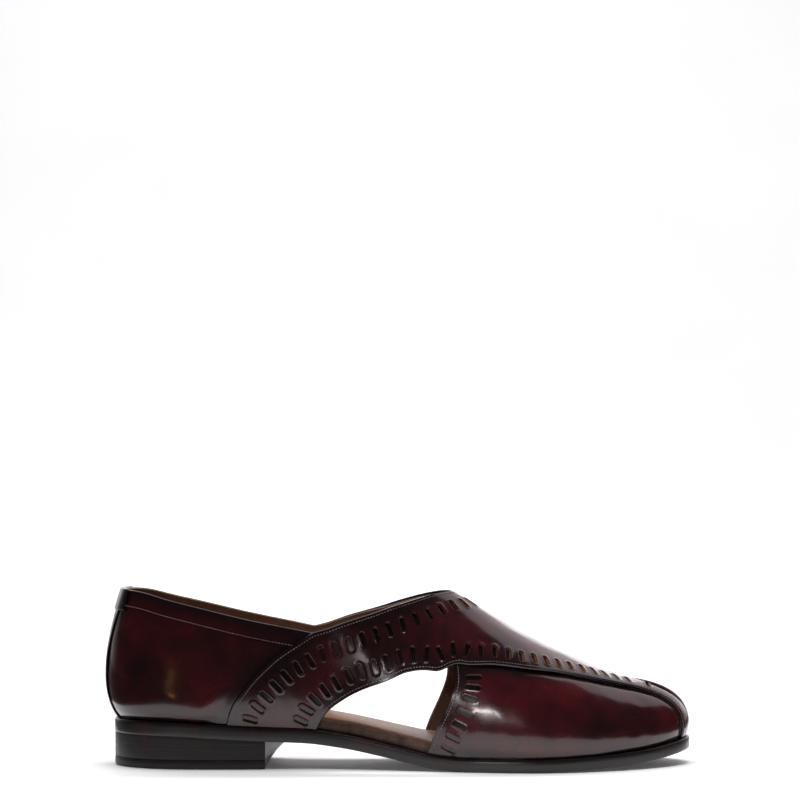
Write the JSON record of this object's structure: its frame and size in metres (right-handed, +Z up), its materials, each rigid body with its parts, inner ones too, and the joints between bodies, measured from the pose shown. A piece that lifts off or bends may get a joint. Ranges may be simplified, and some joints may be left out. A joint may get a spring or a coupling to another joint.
{
  "type": "peshawari chappal shoe",
  "caption": "Closed-toe slip-on leather shoe with open waists, punched crossing straps over the instep, an open collar and a low stacked heel, right foot.",
  "frame": {"origin": "middle of the heel's flat underside, on the floor", "axes": "+X along the shoe towards the toe, +Y towards the inner side of the foot, +Z up"},
  "size_m": [0.3035, 0.099, 0.0907],
  "materials": {
    "oxblood_leather": "polished box leather, dark burgundy",
    "strap_leather": "polished box leather, dark burgundy",
    "sole_leather": "waxed sole edge, black brown",
    "heel_leather": "waxed stacked leather, black brown",
    "top_piece_rubber": "matt rubber",
    "insole_leather": "grained brown leather",
    "sock_leather": "smooth tan leather"
  },
  "bodies": {
    "root": {"outsole": "sole_leather", "heel_stack": "heel_leather", "heel_top_piece": "top_piece_rubber", "insole": "insole_leather", "sock_lining": "sock_leather", "upper": "oxblood_leather", "vamp_strap": "strap_leather", "back_strip": "oxblood_leather"}
  },
  "joints": []
}
